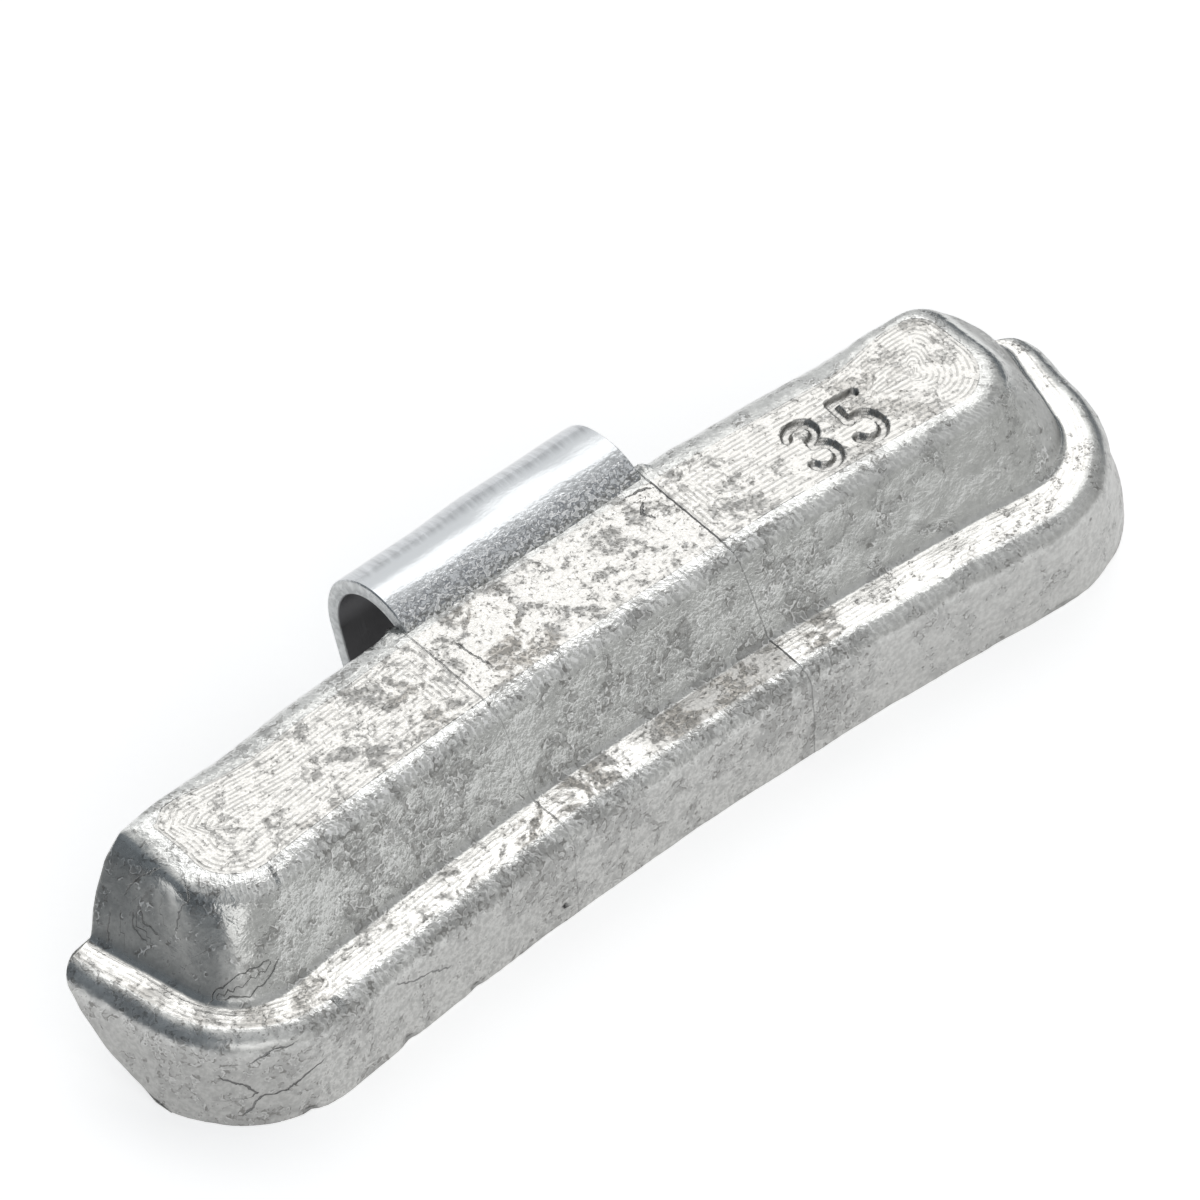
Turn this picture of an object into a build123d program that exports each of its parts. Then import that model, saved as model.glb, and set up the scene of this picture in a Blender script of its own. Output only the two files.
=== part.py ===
from build123d import *
import os
from math import asin, cos, degrees, radians, sin, tan

# Clip-on balance weight for a steel wheel: a zinc bar cast round the tang of a spring-steel clip.
# X runs along the rim, +Y points away from the wheel's axis, +Z points outwards along that axis.
# The weight lies on its flat seat. Every face of the casting that follows the rim is turned about
# the wheel's axis, which stands parallel to Z on the -Y side.

# Driving dimensions, millimetres and degrees

# Casting, as a section through its middle; depths run forwards from the back wall
lip_radius = 222.0            # wheel axis to the back wall, which lies along the rim's lip
base_height = 5.4             # seat to ledge
ridge_height = 4.2            # ledge to top flat
top_depth = 7.75              # top flat, from the back wall to its front edge
front_slope = 2.4             # run of the ridge's front slope
front_ledge = 3.05            # from the foot of that slope to the front side
lip_wall = 1.3                # back wall, from the top flat down to the rim side
seat_depth = 8.0              # near edge of the flat seat
flange_radius = 10.8          # rim side, rounded to lie in the hollow of the rim's flange
wall_draft = 3.0              # spread of the front and end walls towards the seat

# Casting, along the rim; lengths are measured on the line that touches the middle of the back wall,
# and turns are those of the end lines seen from above, positive where the bar narrows to the front
top_length = 50.8             # top flat
top_end_turn = -4.0
end_slope = 3.9               # run of each of the ridge's end slopes
end_ledge = 2.6               # from the foot of that slope to the end side
end_turn = 11.0               # the slope's foot and the end side

# Casting, edges
base_corner_radius = 7.2
ridge_corner_radius = 3.5
ridge_edge_radius = 1.1
ledge_edge_radius = 1.05
valley_radius = 0.4

# Clip, a bent strip
clip_width = 15.0
clip_thickness = 0.82
hook_radius = 2.88            # inside of the bend
hook_reach = 1.0              # bend centre behind the back wall
hook_drop = 2.9               # bend centre below the top flat
leg_clearance = 0.05          # the free leg stops this far above the seat's plane
leg_lean = 20.0               # the free leg closes towards the casting
leg_corner_radius = 1.5
tang_length = 4.6
tang_lean = 22.0              # the cast-in tang leans into the casting
lock_hole_diameter = 2.8
lock_hole_spacing = 7.2
lock_hole_edge = 2.4          # tang's end to the centres of the lock holes

wheel_axis = Axis((0, -lip_radius, 0), (0, 0, 1))
top_height = base_height + ridge_height
foot_depth = top_depth + front_slope
base_depth = foot_depth + front_ledge
foot_length = top_length + 2 * end_slope
base_length = foot_length + 2 * end_ledge
snap = 1e-4                   # nearer than this counts as touching, when edges are picked


def turned(section):
    """Turn a section about the wheel's axis, to both sides of the middle and past the ends."""
    half_angle = degrees(asin(base_length / lip_radius))
    return revolve(section, wheel_axis, 2 * half_angle).rotate(wheel_axis, -half_angle)


def past_end(side, length, turn):
    """Plan of what lies past one end of the bar, beyond its end line."""
    reach = base_length
    lean = reach * tan(radians(turn))
    corners = [(length / 2 + lean, reach), (length / 2 - lean, -reach), (reach, -reach), (reach, reach)]
    return make_face(Polyline(*[(side * x, y) for x, y in corners], close=True))


def front_corners(solid):
    """The two edges that climb from the foot of a wall to its top at the front corners."""
    height = solid.bounding_box().size.Z
    rising = [e for e in solid.edges() if e.bounding_box().size.Z > height / 2]
    return ShapeList(rising).sort_by(Axis.Y)[:2]


def level_face(solid, height):
    """The flat face that looks up at a given height."""
    return solid.faces().filter_by(Plane.XY).filter_by_position(Axis.Z, height - snap, height + snap)[0]


def make_base():
    """Lower part of the casting: drafted front and end walls, rounded ledge edge, back left upright."""
    block = Polyline((0, 0), (0, base_height), (-base_depth, base_height), (-base_depth, 0), close=True)
    base = turned(Plane.YZ * make_face(block))
    for side in (-1, 1):
        base -= extrude(past_end(side, base_length, end_turn), base_height)
    left_to_right = base.faces().sort_by(Axis.X)
    front = base.faces().sort_by(Axis.Y)[0]
    drafted = [left_to_right[0], left_to_right[-1], front]
    base = draft(drafted, Plane.XY.offset(base_height), wall_draft)
    base = fillet(front_corners(base), base_corner_radius)
    front_to_back = level_face(base, base_height).edges().sort_by(Axis.Y)
    return fillet(front_to_back[:-1], ledge_edge_radius)


def make_ridge():
    """Upper part of the casting: a turned bar cut off by two twisted slopes, with rounded corners."""
    outline = Polyline(
        (0, base_height),
        (0, top_height),
        (-top_depth, top_height),
        (-foot_depth, base_height),
        close=True,
    )
    ridge = turned(Plane.YZ * make_face(outline))
    for side in (-1, 1):
        at_foot = Pos(0, 0, base_height) * past_end(side, foot_length, end_turn)
        at_top = Pos(0, 0, top_height) * past_end(side, top_length, top_end_turn)
        ridge -= loft([at_foot, at_top], ruled=True)
    return fillet(front_corners(ridge), ridge_corner_radius)


def make_rim_side():
    """What the rim's flange takes from the back: all that lies under a curve from back wall to seat."""
    wall_foot = (0, top_height - lip_wall)
    seat_edge = (-seat_depth, 0)
    clear = seat_depth            # carries the cut well past the casting
    behind = Polyline(
        wall_foot,
        (clear, top_height - lip_wall),
        (clear, -clear),
        (-seat_depth, -clear),
        seat_edge,
    )
    curve = RadiusArc(seat_edge, wall_foot, -flange_radius)
    return turned(Plane.YZ * make_face([*behind.edges(), curve]))


def make_casting(clip):
    """Base and ridge in one casting, with rounded edges and the clip's tang cast in."""
    ridge = make_ridge()
    casting = make_base() + ridge
    ledge_edges = level_face(casting, base_height).edges()
    foot = [e for e in ledge_edges if ridge.distance_to(Vertex(e @ 0.5)) < snap]
    casting = fillet(foot, valley_radius)
    casting = fillet(level_face(casting, top_height).edges(), ridge_edge_radius)
    return casting - make_rim_side() - clip


def make_clip():
    """Spring-steel strip: a free leg, a bend over the rim's lip and a tang with two lock holes."""
    bend_height = top_height - hook_drop
    bend_centre = Vector(hook_reach, bend_height)
    outer_radius = hook_radius + clip_thickness
    tang_angle = 180 - tang_lean
    tang_run = Vector(-sin(radians(tang_lean)), -cos(radians(tang_lean)))
    leg_run = Vector(-sin(radians(leg_lean)), -cos(radians(leg_lean)))
    leg_top = bend_height - outer_radius * sin(radians(leg_lean))
    leg_length = (leg_top - leg_clearance) / cos(radians(leg_lean))

    def strip_side(radius):
        """One face of the strip, as tang, bend and leg."""
        bend = CenterArc(bend_centre, radius, -leg_lean, tang_angle + leg_lean)
        leg = Line(bend @ 0 + leg_run * leg_length, bend @ 0)
        tang = Line(bend @ 1, bend @ 1 + tang_run * tang_length)
        return [leg, bend, tang]

    inside = strip_side(hook_radius)
    outside = strip_side(outer_radius)
    leg_end = Line(inside[0] @ 0, outside[0] @ 0)
    tang_end = Line(inside[2] @ 1, outside[2] @ 1)
    section = make_face([*inside, *outside, leg_end, tang_end])
    clip = extrude(Plane.YZ * section, clip_width / 2, both=True)

    straight = clip.edges().filter_by(GeomType.LINE)
    across = straight.filter_by(lambda e: abs(e.length - clip_thickness) < snap)
    clip = fillet(across.sort_by(Axis.Y)[-2:], leg_corner_radius)
    tip = (inside[2] @ 1 + outside[2] @ 1) / 2 - tang_run * lock_hole_edge
    across_tang = (0, tang_run.Y, -tang_run.X)
    for side in (-1, 1):
        hole_plane = Plane((side * lock_hole_spacing / 2, tip.X, tip.Y), z_dir=across_tang)
        clip -= hole_plane * Cylinder(lock_hole_diameter / 2, 2 * clip_thickness)
    return clip


spring_clip = make_clip()
cast_body = make_casting(spring_clip)

# The origin is on the seat's plane, under the middle of the whole weight.
middle = (cast_body + spring_clip).bounding_box().center()
os.makedirs("parts", exist_ok=True)
for name, solid in (("cast_body", cast_body), ("spring_clip", spring_clip)):
    export_step(Pos(0, -middle.Y, 0) * solid, f"parts/{name}.step")
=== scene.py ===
import bpy
import numpy as np
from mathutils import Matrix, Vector


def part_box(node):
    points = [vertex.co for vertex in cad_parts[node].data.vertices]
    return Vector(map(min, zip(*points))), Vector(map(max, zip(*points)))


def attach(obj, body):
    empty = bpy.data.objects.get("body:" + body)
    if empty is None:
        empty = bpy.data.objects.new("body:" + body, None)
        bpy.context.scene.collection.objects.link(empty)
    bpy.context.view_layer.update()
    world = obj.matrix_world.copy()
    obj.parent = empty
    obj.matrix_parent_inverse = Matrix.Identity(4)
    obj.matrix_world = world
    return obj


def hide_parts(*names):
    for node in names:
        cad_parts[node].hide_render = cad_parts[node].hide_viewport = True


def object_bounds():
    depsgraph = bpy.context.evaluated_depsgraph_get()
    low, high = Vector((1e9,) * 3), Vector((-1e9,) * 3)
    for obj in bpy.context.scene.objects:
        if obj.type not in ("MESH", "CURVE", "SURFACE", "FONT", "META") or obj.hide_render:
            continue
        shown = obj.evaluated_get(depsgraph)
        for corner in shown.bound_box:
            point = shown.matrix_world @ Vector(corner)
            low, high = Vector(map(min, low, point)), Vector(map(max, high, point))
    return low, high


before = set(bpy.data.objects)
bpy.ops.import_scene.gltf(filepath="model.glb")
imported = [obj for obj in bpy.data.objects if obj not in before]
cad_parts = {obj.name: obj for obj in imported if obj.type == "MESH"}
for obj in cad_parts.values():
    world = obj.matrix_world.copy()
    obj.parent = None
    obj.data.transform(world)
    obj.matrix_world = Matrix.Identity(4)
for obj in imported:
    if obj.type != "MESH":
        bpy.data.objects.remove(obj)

# The bounding box of the CAD pieces, kept before any of them is replaced
cad_low, cad_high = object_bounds()

MM = 0.001                                     # metres in a millimetre
PER_METRE = 1000.0                             # millimetres in a metre
SHARP_ANGLE = np.radians(38)                   # edges that turn more than this stay sharp

# Sizes of the casting, in millimetres and degrees; depths run forwards from the back wall
AXIS = 222.0                                   # wheel axis to the back wall
WALL_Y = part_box("cast_body")[1].y * PER_METRE  # the back wall's place in the shared frame
LEDGE_Z, TOP_Z = 5.4, 9.6
BASE = dict(front=13.2, half=31.9, turn=11.0, radius=7.2)
FOOT = dict(front=10.15, half=29.3, turn=11.0, radius=3.5)
TOP = dict(front=7.75, half=25.4, turn=-4.0, radius=3.5)
DRAFT = np.tan(np.radians(3.0))
LEDGE_EDGE = 1.05                              # radius of the ledge's outer edge
BACK_EDGE, BACK_EDGE_RUN = 1.1, 0.45           # rounding behind the top flat: height, and run past it
BACK_HALF, BACK_EASE = 25.0, 6.0               # about the back's half length, and how far in its heights ease
BROW_FRONT, BROW_END = 0.132, 0.0836           # share of the ridge's height that its top rounding takes
VALLEY = 0.05                                  # share that the small curve at its foot takes
WALL_FOOT_Z = 8.3                              # lower end of the back wall
RIM_RADIUS = 10.8                              # rim side's arc, and its centre
RIM_CENTRE_DEPTH, RIM_CENTRE_Z = 10.58, 10.49
SPINE_DEPTH, SPINE_X = TOP["front"] / 2, 22.0  # line on which the top flat's rows close: depth, half length
SEAT_DEPTH, SEAT_X = 10.8, 26.0                # the same for the seat
SEAM_X = 7.6                                   # seams of the die's insert, to both sides of the middle
DIGIT_DEPTH, STROKE_WIDTH = 0.28, 0.40
PIT = (-8.36, -8.58, 0.97)                     # a pit in the front side, in the shared frame

# Sizes of the clip
BEND_Y, BEND_Z, BEND_IN, BEND_OUT = 1.0, 6.7, 2.88, 3.70
CLIP_HALF = 7.5
LEG_LEAN, BEND_STOP = 20.0, 158.0
LEG_CLEARANCE = 0.05                           # the leg's end above the seat's plane
LEG_CORNER = 1.5
CLIP_BEVEL = 0.07

# Zones of the casting's rows, from the seat's plane up, and the seat
SIDE_ZONE, EDGE_ZONE, LEDGE_ZONE, VALLEY_ZONE, SLOPE_ZONE, BROW_ZONE, FLAT_ZONE, SEAT_ZONE = range(8)
SIDE_ROWS, EDGE_ROWS, LEDGE_ROWS, VALLEY_ROWS = 19, 9, 11, 5
SLOPE_ROWS, BROW_ROWS, FLAT_ROWS, SEAT_ROWS = 17, 9, 45, 3

# Cast unevenness: its strength by zone, and its waves' height, length, number and seed
UNEVEN = [1.0, 1.0, 0.45, 0.6, 0.7, 0.8, 0.25, 0.3]
LUMPS = [(0.03, 7.0, 24, 1), (0.018, 2.2, 32, 2), (0.008, 0.8, 40, 3)]
SUNK = 0.07                                    # mean depth of the uneven skin where its strength is 1
SPREAD = 7                                     # rows over which a step in strength is evened out

# Columns round the bar, seen from above: the whole front arc, close together under the number, then the
# right corner, end line and back corner, then the left ones in reverse
FRONT_P = np.concatenate([
    np.linspace(-1.0, -0.95, 6)[:-1],
    np.linspace(-0.95, 0.575, 150)[:-1],
    np.linspace(0.575, 0.955, 122)[:-1],
    np.linspace(0.955, 1.0, 6),
])
CORNER_N, END_N, HEEL_N = 22, 26, 7
RUN = np.repeat([1, 2, 3], [CORNER_N, END_N, HEEL_N])
RUN_T = np.concatenate([np.linspace(0, 1, n + 1)[1:] for n in (CORNER_N, END_N, HEEL_N)])
FRONT_N = len(FRONT_P)
BACK_AT = FRONT_N + len(RUN)                   # the back's columns go in here
KIND = np.concatenate([np.zeros(FRONT_N, int), RUN, RUN[::-1]])
PARAM = np.concatenate([np.abs(FRONT_P), RUN_T, RUN_T[::-1]])
SIGN = np.concatenate([np.where(FRONT_P < 0, -1.0, 1.0), np.ones(len(RUN)), -np.ones(len(RUN))])

# By column: how far it belongs to an end and to the back, then the end slopes' fullness, the fuller right
# foot, where the foot's small curve runs out, the back corners' length and what widens the top rounding
END_WEIGHT = np.where(KIND == 0, 0.0, np.where(KIND == 1, PARAM, 1.0))
BACK_WEIGHT = np.where(KIND == 2, PARAM, KIND == 3)
BULGE = np.where(SIGN > 0, END_WEIGHT, BACK_WEIGHT - 0.5 * END_WEIGHT * (1.0 - BACK_WEIGHT))
FULLER = np.where(SIGN > 0, 0.5, 0.0) * BACK_WEIGHT
RUN_OUT = np.where(SIGN > 0, VALLEY, VALLEY + 0.2 * END_WEIGHT)
HEEL = np.where(SIGN > 0, 1.5, 0.3)
WIDER = 0.35 + END_WEIGHT * np.where(SIGN > 0, -0.2, 0.5)


def rim_depth(z):
    """Depth of the rim side at a height: none on the back wall, then a circle's arc down to the seat."""
    below = RIM_CENTRE_Z - np.minimum(z, WALL_FOOT_Z)
    return np.where(z < WALL_FOOT_Z, RIM_CENTRE_DEPTH - np.sqrt(RIM_RADIUS ** 2 - below ** 2), 0.0)


def rim_line(angle, depth, z):
    """Points of a level circle about the wheel's axis, at a depth from the back wall, by angle."""
    ring = AXIS - depth
    return np.stack([ring * np.sin(angle), ring * np.cos(angle) - AXIS, np.full(len(angle), z)], axis=1)


def waves(points, size, number, seed):
    """Sum of plane sine waves, of about one wavelength, in seeded directions and phases; spread about 1."""
    rng = np.random.default_rng(seed)
    heading = rng.normal(size=(number, 3))
    heading /= np.linalg.norm(heading, axis=1)[:, None]
    pitch = 2 * np.pi / (size * rng.uniform(0.7, 1.5, number))
    phase = rng.uniform(0, 2 * np.pi, number)
    total = np.zeros(len(points))
    for k in range(number):
        total += np.sin(points @ heading[k] * pitch[k] + phase[k])
    return total * np.sqrt(2.0 / number)


def smooth(low, high, x):
    """Smooth step from 0 at low to 1 at high; low may be the larger of the two."""
    t = np.clip((x - low) / (high - low), 0.0, 1.0)
    return t * t * (3.0 - 2.0 * t)


def steps(count):
    """Even steps from 0 to 1, without the 0."""
    return np.linspace(0.0, 1.0, count + 1)[1:]


def bezier(start, corner, end, t):
    """Rounded corner: the quadratic curve from start to end that leans towards the corner."""
    t = np.asarray(t)[:, None, None]
    return (1 - t) ** 2 * start + 2 * t * (1 - t) * corner + t ** 2 * end


def lerp(a, b, t):
    """Straight blend of two named sets of sizes; the turn blends by its tangent."""
    mixed = {k: a[k] + (b[k] - a[k]) * t for k in ("front", "half", "radius")}
    slope = [np.tan(np.radians(s["turn"])) for s in (a, b)]
    mixed["turn"] = np.degrees(np.arctan(slope[0] + (slope[1] - slope[0]) * t))
    return mixed


def path_length(points):
    """Length along a row of points, from its first one."""
    return np.concatenate([[0.0], np.cumsum(np.linalg.norm(np.diff(points, axis=0), axis=1))])


def outline(z, front, half, turn, radius):
    """Level outline of the bar without its back: points by column, as (x, y, z).

    The front is a circle's arc about the wheel's axis, the end a straight line turned from square, and
    between them a circle's arc touches both. The end line stops on the rim side's circle, where a short
    quadratic curve turns it into the back.
    """
    z = np.broadcast_to(np.asarray(z, float), KIND.shape)
    tau = np.radians(turn)
    tx, ty = np.sin(tau), np.cos(tau)

    # The corner's centre lies in the bar, a radius from the end line and a radius from the front's arc
    ring = AXIS - front
    dx, dy = half - radius * ty, AXIS + radius * tx
    dot = dx * tx + dy * ty
    s = -dot + np.sqrt(dot ** 2 - dx ** 2 - dy ** 2 + (ring + radius) ** 2)
    cx, cy = half + s * tx - radius * ty, s * ty + radius * tx
    theta = np.arctan2(cx, cy + AXIS) * PARAM
    front_xy = ring * np.sin(theta), ring * np.cos(theta) - AXIS

    # Its arc ends on the end line, or sooner where the rim side's circle cuts it
    rim = AXIS - rim_depth(z)
    reach = ring + radius
    share = (rim ** 2 - reach ** 2 - radius ** 2) / (2 * reach * radius)
    a0 = np.arctan2(-AXIS - cy, -cx)
    a1 = np.arctan2(-tx, ty)
    stop = np.minimum(a1, a0 + np.pi - np.arccos(np.clip(share, -1.0, 1.0)))
    angle = a0 + (stop - a0) * PARAM
    corner_xy = cx + radius * np.cos(angle), cy + radius * np.sin(angle)

    # The end line, up to the rim side's circle, and the back corner there
    dot = half * tx + AXIS * ty
    far = -dot + np.sqrt(dot ** 2 - half ** 2 - AXIS ** 2 + rim ** 2)
    ex, ey = cx + radius * np.cos(stop), cy + radius * np.sin(stop)
    cut = stop < a1
    px, py = np.where(cut, ex, half + far * tx), np.where(cut, ey, far * ty)
    heel = np.minimum(HEEL, 0.8 * np.hypot(px - ex, py - ey))
    ax, ay = px - heel * tx, py - heel * ty
    end_xy = ex + (ax - ex) * PARAM, ey + (ay - ey) * PARAM
    bx, by = px - heel * (py + AXIS) / rim, py + heel * px / rim
    t = PARAM
    heel_xy = ((1 - t) ** 2 * ax + 2 * t * (1 - t) * px + t ** 2 * bx,
               (1 - t) ** 2 * ay + 2 * t * (1 - t) * py + t ** 2 * by)
    x = np.choose(KIND, [front_xy[0], corner_xy[0], end_xy[0], heel_xy[0]]) * SIGN
    y = np.choose(KIND, [front_xy[1], corner_xy[1], end_xy[1], heel_xy[1]])
    return np.stack([x, y, z], axis=1)


def base_row(z, inset=0.0):
    """Outline of the lower part at a height, with the walls' draft, drawn in by an even inset."""
    spread = (LEDGE_Z - z) * DRAFT - inset
    half = BASE["half"] + spread / np.cos(np.radians(BASE["turn"]))
    return outline(z, BASE["front"] + spread, half, BASE["turn"], BASE["radius"] - inset)


def ridge_row(s):
    """Outline of the ridge, from its foot at 0 to the top flat at 1; each column may have its own s."""
    s = np.broadcast_to(np.asarray(s, float), KIND.shape)
    sizes = lerp(FOOT, TOP, s)
    sizes["half"] = sizes["half"] + (1.0 - s) * (BULGE * (0.12 + s) + FULLER)
    return outline(LEDGE_Z + (TOP_Z - LEDGE_Z) * s, **sizes)


def toward(start, goal, step):
    """Points a step from start towards goal, column by column, never past the goal."""
    way = goal - start
    length = np.linalg.norm(way, axis=1)[:, None]
    return start + way * np.minimum(step / np.maximum(length, 1e-9), 1.0)


def outer_rows():
    """Rows from the seat's plane to the top flat's border, without the back, and each row's zone.

    Walls rise with their draft, a quarter circle turns into the ledge, a small curve into the ridge's
    slope and a larger one into the top flat. Gives also the line on which the flat will close.
    """
    rows, zone = [], []

    def lay(kind, made):
        """Lay rows of one zone on those already there."""
        rows.extend(made)
        zone.extend([kind] * len(made))

    lay(SIDE_ZONE, [base_row(z) for z in np.linspace(0.0, LEDGE_Z - LEDGE_EDGE, SIDE_ROWS)])
    lay(EDGE_ZONE, [base_row(LEDGE_Z - LEDGE_EDGE + LEDGE_EDGE * np.sin(a), LEDGE_EDGE * (1 - np.cos(a)))
                    for a in np.linspace(0.0, np.pi / 2, EDGE_ROWS + 1)[1:]])
    edge = rows[-1]
    foot = ridge_row(0.0)
    reach = np.linalg.norm(ridge_row(VALLEY) - foot, axis=1)[:, None]
    valley_start = toward(foot, edge, reach)
    valley_end = ridge_row(RUN_OUT)
    lay(LEDGE_ZONE, [edge + (valley_start - edge) * t for t in steps(LEDGE_ROWS)])
    lay(VALLEY_ZONE, bezier(valley_start, foot, valley_end, steps(VALLEY_ROWS)))
    turn_in = BROW_FRONT + (BROW_END - BROW_FRONT) * END_WEIGHT
    lay(SLOPE_ZONE, [ridge_row(RUN_OUT + (1.0 - turn_in - RUN_OUT) * t) for t in steps(SLOPE_ROWS)])
    slope_end = rows[-1]
    brow = ridge_row(1.0)
    lean = np.where(KIND == 0, SIGN * PARAM, SIGN) * np.arcsin(SPINE_X / AXIS)
    spine = rim_line(lean, SPINE_DEPTH, TOP_Z)
    reach = np.linalg.norm(brow - slope_end, axis=1)[:, None]
    flat_start = toward(brow, spine, reach + WIDER[:, None])
    lay(BROW_ZONE, bezier(slope_end, brow, flat_start, steps(BROW_ROWS)))
    return np.array(rows), np.array(zone), spine


def body_rows():
    """The casting as closed rows, from the seat's plane up to the middle of the top flat, with their zones.

    The back's columns run on the rim side's arc from the right end's corner to the left one's, with
    heights that ease from the ends' to an even spread, and a quadratic curve turns them into the top
    flat, whose rows close on a curved line along its middle.
    """
    rows, zone, spine = outer_rows()
    back_p = FRONT_P[::-1]
    crease = rows[:, BACK_AT - 1]
    theta = np.arctan2(crease[:, 0], crease[:, 1] + AXIS)[:, None] * back_p
    ring = np.hypot(crease[:, 0], crease[:, 1] + AXIS)[:, None]
    wall = int(np.sum(zone <= SLOPE_ZONE))
    even = np.interp(np.arange(len(rows)), [0, wall - 1], [0.0, TOP_Z - BACK_EDGE])[:, None]
    from_end = (1.0 - np.abs(back_p)) * BACK_HALF
    near = 1.0 - smooth(0.0, BACK_EASE, from_end)[None, :]
    z = even + (crease[:, 2:3] - even) * near
    depth = np.array(rim_depth(z))
    t = steps(BROW_ROWS)[:, None]
    start = z[wall - 1][None, :]
    turn = TOP_Z - start
    z[wall:] = (1 - t) ** 2 * start + (1 - (1 - t) ** 2) * TOP_Z
    depth[wall:] = t ** 2 * (turn + BACK_EDGE_RUN)
    radius = AXIS - depth
    radius = radius + (ring - radius[:, :1]) * near
    back = np.stack([radius * np.sin(theta), radius * np.cos(theta) - AXIS, z], axis=2)
    rows = np.concatenate([rows[:, :BACK_AT], back[:, 1:-1], rows[:, BACK_AT:]], axis=1)
    spine_back = rim_line(back_p[1:-1] * np.arcsin(SPINE_X / AXIS), SPINE_DEPTH, TOP_Z)
    spine = np.concatenate([spine[:BACK_AT], spine_back, spine[BACK_AT:]])

    flat = rows[-1][None] + (spine - rows[-1])[None] * steps(FLAT_ROWS)[:, None, None]
    return np.concatenate([rows, flat]), np.concatenate([zone, np.full(FLAT_ROWS, FLAT_ZONE)])


def seat_rows(lowest):
    """The seat, as rows from a curved line along its middle out to the lowest outline."""
    theta = np.arctan2(lowest[:, 0], lowest[:, 1] + AXIS)
    limit = SEAT_X / AXIS
    line = rim_line(np.clip(theta, -limit, limit), SEAT_DEPTH, 0.0)
    share = np.linspace(1.0, 0.0, SEAT_ROWS + 1)[:-1]
    return lowest[None] + (line - lowest)[None] * share[:, None, None]


def digit_depth(x, y, strokes, width):
    """Depth share of engraved strokes: 1 within half a stroke's width of its line, 0 just past that."""
    best = np.full(x.shape, 1e9)
    for path in strokes:
        path = np.asarray(path, float)
        for a, b in zip(path[:-1], path[1:]):
            run = b - a
            t = np.clip(((x - a[0]) * run[0] + (y - a[1]) * run[1]) / (run @ run), 0, 1)
            best = np.minimum(best, np.hypot(x - a[0] - t * run[0], y - a[1] - t * run[1]))
    return 1.0 - smooth(width / 2 - 0.06, width / 2 + 0.12, best)


def arc_path(cx, cy, rx, ry, start, stop):
    """Points along part of an ellipse, angles in degrees."""
    a = np.radians(np.linspace(start, stop, 15))
    return np.stack([cx + rx * np.cos(a), cy + ry * np.sin(a)], axis=1)


def number_strokes():
    """The strokes of a plain 35 on the top flat, in the shared frame."""
    three = np.concatenate([arc_path(15.10, 0.85, 0.75, 0.63, 165, -85),
                            arc_path(15.02, -0.87, 0.78, 0.78, 85, -165)])
    five = np.concatenate([[[18.85, 1.18], [17.50, 1.36], [17.42, 0.02]],
                           arc_path(17.85, -0.88, 0.82, 0.88, 118, -160)])
    return [three, five]


# Lines where the metal met too cool to join, and scratches: strength, and points in the shared frame
COLD_LINES = [
    (1.0, [(-24.46, -9.45, 3.02), (-25.46, -9.24, 2.54), (-26.46, -8.89, 2.0), (-27.4, -8.33, 2.03),
           (-27.85, -7.94, 2.63), (-28.6, -7.18, 3.06)]),
    (0.8, [(-27.4, -8.33, 2.03), (-27.59, -8.25, 1.39), (-27.96, -8.01, 0.88)]),
    (0.8, [(-16.03, -8.93, 2.82), (-17.34, -9.0, 3.47), (-18.33, -9.07, 3.8), (-19.31, -9.12, 4.32)]),
    (0.8, [(-27.49, -8.07, 4.21), (-26.67, -8.5, 4.73), (-25.7, -8.87, 4.88)]),
    (0.8, [(-24.38, -5.61, 6.88), (-25.36, -5.4, 6.81), (-26.19, -5.13, 6.5), (-26.99, -4.68, 5.94),
           (-27.25, -4.76, 5.6)]),
    (0.8, [(-23.9, -5.76, 6.63), (-24.63, -6.02, 6.2), (-25.75, -5.96, 5.81), (-26.8, -5.24, 5.74)]),
    (0.6, [(-25.79, 0.54, 9.36), (-26.49, 1.35, 8.41), (-26.94, 1.49, 7.78)]),
    (0.6, [(-25.51, -1.0, 9.55), (-25.9, -1.75, 9.28), (-26.46, -1.58, 8.42), (-26.75, -1.75, 7.86)]),
    (0.7, [(-27.04, 0.31, 7.52), (-27.26, -0.09, 7.11), (-27.26, -0.94, 6.99)]),
    (0.7, [(-27.25, 0.65, 7.25), (-27.58, 0.35, 6.68), (-27.61, -0.46, 6.48)]),
    (0.6, [(-27.74, 1.75, 6.67), (-28.41, 1.23, 5.72)]),
    (1.0, [(7.33, 3.03, 9.6), (6.88, 3.25, 9.6), (6.15, 3.29, 9.6)]),
    (0.9, [(6.34, 2.42, 9.6), (5.88, 2.05, 9.6), (6.18, 1.6, 9.6)]),
    (0.7, [(-6.24, 1.48, 9.6), (-6.08, 0.73, 9.6), (-5.93, -0.25, 9.6)]),
    (1.0, [(-8.26, -8.58, 0.92), (-8.46, -8.58, 1.02)]),
]

# Burrs and lumps by the clip, chips on the lower edge and the pit: place in the shared frame, size and rise
SPOTS = [
    (7.95, 4.35, 9.45, 0.35, 0.40),
    (7.60, 4.70, 9.20, 0.30, 0.25),
    (-8.10, 4.40, 9.45, 0.30, 0.22),
    (-7.75, 4.75, 9.20, 0.35, 0.28),
    (-8.60, 4.35, 9.45, 0.25, 0.15),
    (-25.16, -9.48, 0.10, 0.35, -0.18),
    (-14.37, -8.93, 0.10, 0.40, -0.13),
    (-18.90, -9.30, 0.10, 0.40, -0.15),
    (*PIT, 0.20, -0.15),
]


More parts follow.
